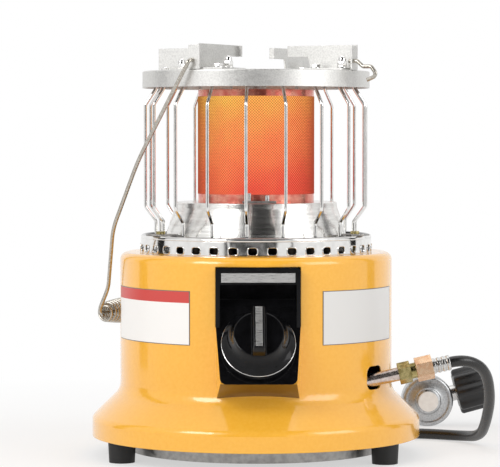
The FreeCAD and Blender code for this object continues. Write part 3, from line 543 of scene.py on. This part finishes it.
# in mm; a support's angle gives the side that its two nuts are on, and the side gives their reaches
nuts = {
    "sides": {-30: -1, -120: 1, 150: 1, 60: -1}, "reaches": {-1: (94.5, 68), 1: (72, 90)}, "offset": 12,
    "seat": 352.0, "flats": 7.6, "dome": 3.5, "domeFoot": 1.4, "tall": 6.2, "low": 3.6, "flange": 5.0,
    "flangeHigh": 1.2, "edge": 0.5, "spin": 0.3,
}


def nutMesh(tall):
    # flanged hexagon nut, with a dome where it is tall
    wide = nuts["flats"] / math.sqrt(3)
    foot = nuts["flangeHigh"]
    flange = latheMesh("flange", [(0, 0), (nuts["flange"], 0), (nuts["flange"], foot - 0.5),
                                  (nuts["flange"] - 0.7, foot), (0, foot)], 40)
    high = nuts["tall" if tall else "low"]
    hexagon = latheMesh("hexagon", [(0, foot), (wide * 0.95, foot), (wide, foot + nuts["edge"]),
                                    (wide, high - nuts["edge"]), (wide * 0.93, high), (0, high)], 6)
    parts = [flange, hexagon]
    if tall:
        spring = high + nuts["domeFoot"]
        dome = [(nuts["dome"], high), (nuts["dome"], spring)]
        dome += [(nuts["dome"] * math.cos(math.radians(a)), spring + nuts["dome"] * math.sin(math.radians(a)))
                 for a in (20, 40, 60, 75, 90)]
        parts.append(latheMesh("dome", dome, 40))
    return joined("nut", parts)


def makeNuts(mat):
    meshes = []
    for angle, side in nuts["sides"].items():
        turn = math.radians(angle)
        out, across = Vector((math.cos(turn), math.sin(turn), 0)), Vector((-math.sin(turn), math.cos(turn), 0))
        for number, reach in enumerate(nuts["reaches"][side]):
            mesh = nutMesh(number == 0)
            place = (out * reach + across * side * nuts["offset"] + Vector((0, 0, nuts["seat"]))) * mm
            # a tightened nut stops at any turn, so each support's nuts have one of their own
            mesh.transform(Matrix.Translation(place) @ Matrix.Rotation(nuts["spin"] + angle, 4, "Z"))
            meshes.append(mesh)
    return newPiece("domeNuts", joined("domeNuts", meshes), "heater", mat, ("dome_nuts",))


# the inlet and the regulator both point right and a little up
inletRise, spoutRise = math.radians(12.7), math.radians(15)
inletRun = Vector((math.cos(inletRise), 0, math.sin(inletRise)))
spout = Vector((math.cos(spoutRise), 0, math.sin(spoutRise)))
hub = Vector((0.176, 0.222, 0.0255))
fittings = {
    "inletStart": (0.156644, -0.066, 0.085995), "ferruleBack": 0.0395, "faceFront": 0.010, "wheelStart": 0.0305,
    "ferrule": [(5.1, 0), (6.9, 0), (6.95, 2.2), (6.3, 2.8), (6.3, 4.2), (6.95, 4.8), (6.95, 6.6), (6.3, 7.2),
                (6.3, 8.6), (6.95, 9.2), (6.95, 11), (6.4, 11.6), (6.4, 13), (6.95, 13.6), (6.95, 15.4),
                (6.5, 16), (5.1, 16)],
    "shorter": 0.9,
    "dish": [(0, 0), (25.3, 0), (25.4, 1.2), (24.6, 2.4), (23.2, 3.0), (21.4, 3.0), (20.4, 2.2), (14.4, 2.6),
             (13.2, 3.2), (12.6, 4.4), (11.6, 5.0), (0, 5.0)],
    "wheel": [(8.2, 0), (19.6, 0), (21.0, 0.8), (21.8, 2.4), (21.8, 25.6), (21.0, 27.2), (19.6, 28), (14, 28),
              (12.5, 26.8), (0, 26.8)],
    "lobes": 8, "lobeDepth": 0.085, "lobeMean": 0.97, "lobesBeyond": 12,
}


def makeFittings(steel, silver, black):
    inlet = pointAlong(latheMesh("inletFerrule", fittings["ferrule"], 48), Vector(fittings["inletStart"]),
                       inletRun)
    newPiece("inletFerrule", inlet, "heater", steel, ("hose_ferrule",))
    short = [(r, z * fittings["shorter"]) for r, z in fittings["ferrule"]]
    end = pointAlong(latheMesh("regulatorFerrule", short, 48), hub - spout * fittings["ferruleBack"], spout)
    newPiece("regulatorFerrule", end, "heater", steel, ("regulator_ferrule",))
    face = pointAlong(latheMesh("regulatorFace", fittings["dish"], 96),
                      hub + Vector((0, -fittings["faceFront"], 0)), (0, -1, 0))
    newPiece("regulatorFace", face, "heater", silver, ("regulator_cover",))

    def lobed(radius, turn):
        wave = fittings["lobeMean"] + fittings["lobeDepth"] * math.cos(fittings["lobes"] * turn)
        return radius * wave if radius > fittings["lobesBeyond"] else radius
    wheel = pointAlong(latheMesh("handwheelGrip", fittings["wheel"], 160, lobed),
                       hub + spout * fittings["wheelStart"], spout)
    newPiece("handwheelGrip", wheel, "wheel", black, ("handwheel",))


studio = {
    "white": "#FFFFFF", "worldLight": 0.68, "floorTone": "#F4F2F0", "fade": (0.28, 0.75), "nearWhite": 0.55,
    "floor": [(-6, -6, 0), (6, -6, 0), (6, 8, 0), (-6, 8, 0)], "cardTone": "#1A1918", "aimHeight": 0.2,
    "lamps": [("key", 27, (-1.5, -1.6, 1.5), 1.1), ("fill", 14, (1.8, -1.2, 1.0), 1.2),
              ("top", 4, (0.1, 0.4, 2.2), 1.4)],
    "cards": [((-0.75, -1.3, 0.4), 0.16, 1.6, 30, 0), ((0.8, -1.2, 0.4), 0.14, 1.6, -34, 0),
              ((-0.95, 0.25, 0.4), 0.2, 1.4, 80, 0), ((1.0, 0.3, 0.4), 0.2, 1.4, -80, 0),
              ((-0.2, -3.0, 0.6), 2.6, 1.2, 0, 0), ((0.2, -3.0, 2.2), 3.0, 1.9, 0, 0),
              ((0, -1.2, 1.9), 2.2, 1.2, 0, -62)],
}


def raysThatSeeWhite(mat):
    # camera, glossy and transmission rays, so that metal shows the white background too
    rays = addNode(mat, "ShaderNodeLightPath")
    seen = addNode(mat, "ShaderNodeMath", {0: rays.outputs["Is Camera Ray"],
                                           1: rays.outputs["Is Transmission Ray"]}, operation="MAXIMUM")
    seen = addNode(mat, "ShaderNodeMath", {0: seen.outputs["Value"], 1: rays.outputs["Is Glossy Ray"]},
                   operation="MAXIMUM")
    return seen.outputs["Value"]


def addWorld():
    world = bpy.data.worlds.new("studio")
    scene.world = world
    world.use_nodes = True
    tree = world.node_tree
    tree.nodes.clear()
    out = addNode(world, "ShaderNodeOutputWorld")
    plain = addNode(world, "ShaderNodeBackground", {"Color": hexColour(studio["white"]),
                                                    "Strength": studio["worldLight"]})
    white = addNode(world, "ShaderNodeBackground", {"Color": hexColour(studio["white"]), "Strength": 1.0})
    mix = addNode(world, "ShaderNodeMixShader", {"Fac": raysThatSeeWhite(world), 1: plain.outputs["Background"],
                                                 2: white.outputs["Background"]})
    link(world, mix.outputs["Shader"], out.inputs["Surface"])


def addFloor():
    # the floor fades to plain white away from the heater, for every ray but the diffuse ones
    floorMat, shader = newMaterial("studioFloor", studio["floorTone"], Roughness=0.9)
    place = addNode(floorMat, "ShaderNodeTexCoord")
    far = addNode(floorMat, "ShaderNodeVectorMath", {0: place.outputs["Object"]}, operation="LENGTH")
    fade = addNode(floorMat, "ShaderNodeMapRange", {"Value": far.outputs["Value"], "From Min": studio["fade"][0],
                                                    "From Max": studio["fade"][1], "To Min": studio["nearWhite"],
                                                    "To Max": 1.0})
    share = addNode(floorMat, "ShaderNodeMath", {0: raysThatSeeWhite(floorMat), 1: fade.outputs["Result"]},
                    operation="MULTIPLY")
    bright = addNode(floorMat, "ShaderNodeEmission", {"Color": hexColour(studio["white"]), "Strength": 1.0})
    blend = addNode(floorMat, "ShaderNodeMixShader", {"Fac": share.outputs["Value"], 1: shader.outputs["BSDF"],
                                                      2: bright.outputs["Emission"]})
    link(floorMat, blend.outputs["Shader"], floorMat.node_tree.nodes["Material Output"].inputs["Surface"])
    mesh = bpy.data.meshes.new("floor")
    mesh.from_pydata(studio["floor"], [], [(0, 1, 2, 3)])
    floor = bpy.data.objects.new("floor", mesh)
    scene.collection.objects.link(floor)
    dress(floorMat, floor)


def addLamps():
    # soft square lamps, each a name, its watts, its place and its width, all aimed at the heater
    for name, power, place, width in studio["lamps"]:
        lamp = bpy.data.lights.new(name, "AREA")
        lamp.energy, lamp.size = power, width
        lampObject = bpy.data.objects.new(name, lamp)
        lampObject.location = place
        aim = Vector(place) - Vector((0, 0, studio["aimHeight"]))
        lampObject.rotation_euler = aim.to_track_quat("Z", "Y").to_euler()
        scene.collection.objects.link(lampObject)


def addCards():
    # dark cards that only reflections show give the chrome and the black panel their dark shapes
    cardMat = newMaterial("darkCard", studio["cardTone"], Roughness=0.9)[0]
    for place, width, tall, turn, lean in studio["cards"]:
        card = bpy.data.meshes.new("card")
        card.from_pydata([(-width / 2, 0, -tall / 2), (width / 2, 0, -tall / 2), (width / 2, 0, tall / 2),
                          (-width / 2, 0, tall / 2)], [], [(0, 1, 2, 3)])
        cardObject = bpy.data.objects.new("darkCard", card)
        cardObject.location = place
        cardObject.rotation_euler = (math.radians(lean), 0, math.radians(turn))
        scene.collection.objects.link(cardObject)
        cardObject.visible_camera = False
        cardObject.visible_diffuse = False
        cardObject.visible_shadow = False
        dress(cardMat, cardObject)


addCamera()
print("camera placed")
hosePiece, onCord = makeHose(hoseRubber())
print("hose laid")
enamel, black, rubber, chrome = yellowEnamel(), glossBlack(), blackRubber(), chromePlate()
steel, silver, nylon, sheetMetal = brightSteel(), castSilver(), blackMoulded(), hammeredSheet()
dress(enamel, "base_shell")
dress(black, "control_panel", "knob_bezel")
dress(rubber, "feet")
dress(chrome, "knob_ring", "guard_wires", "guard_lower_ring", "guard_upper_ring")
dress(ventChrome(), "vent_ring")
dress(polishedBell(), "reflector")
dress(steelWire(), "bail_handle", "bail_grip", "catch_hook")
dress(galvanised(), "bottom_pan", "valve_bracket", "foot_screws", "injector_bracket", "pilot_bracket",
      "tilt_switch", "guard_clips")
dress(sheetMetal, "top_plate", *[f"pot_support_{i}" for i in (1, 2, 3, 4)])
dress(zincYellow(), "clip_screws", "inlet_union")
dress(nickelPipe(), "inlet_pipe")
dress(zincPink(), "flare_nut")
dress(machinedBrass(), "gas_valve", "valve_plunger", "injector", "gas_tube", "supply_tube", "knob_stem")
dress(steel, "thermocouple", "igniter_electrode", "mixing_tube", "top_spacer", "support_studs", "tilt_pendulum",
      "regulator_neck")
dress(silver, "regulator_body")
dress(whiteCap(), "regulator_cap")
dress(trimSilver(), "panel_badge", "knob_strip")
dress(nylon, "piezo_igniter")
dress(heatTinted(), "burner_lower_band", "burner_cap")
dress(glowingGauze("glowingCore", glow["strength"], 0.0), "burner_mesh", "burner_core")
dress(printedSticker("leftSticker", *sticker["left"]), "label_left")
dress(printedSticker("rightSticker", *sticker["right"]), "label_right")
print("materials on the CAD nodes")
makeGauze(glowingGauze("glowingStrands", glow["strandStrength"], glow["strandShade"]))
makeKnob(black)
makeVentRims(chrome)
makeNuts(chrome)
makeFittings(steel, silver, nylon)
print("pieces modelled")
modelled = ("regulatorFerrule", "regulatorFace", "handwheelGrip", "inletFerrule")
withPieces = [bpy.data.objects[name] for name in modelled]
withPieces += [nodes[name] for name in onCord if not nodes[name].hide_render]
addWorld()
addFloor()
addLamps()
addCards()
scene.view_settings.view_transform = "Standard"
print("studio lit")
bpy.context.view_layer.update()
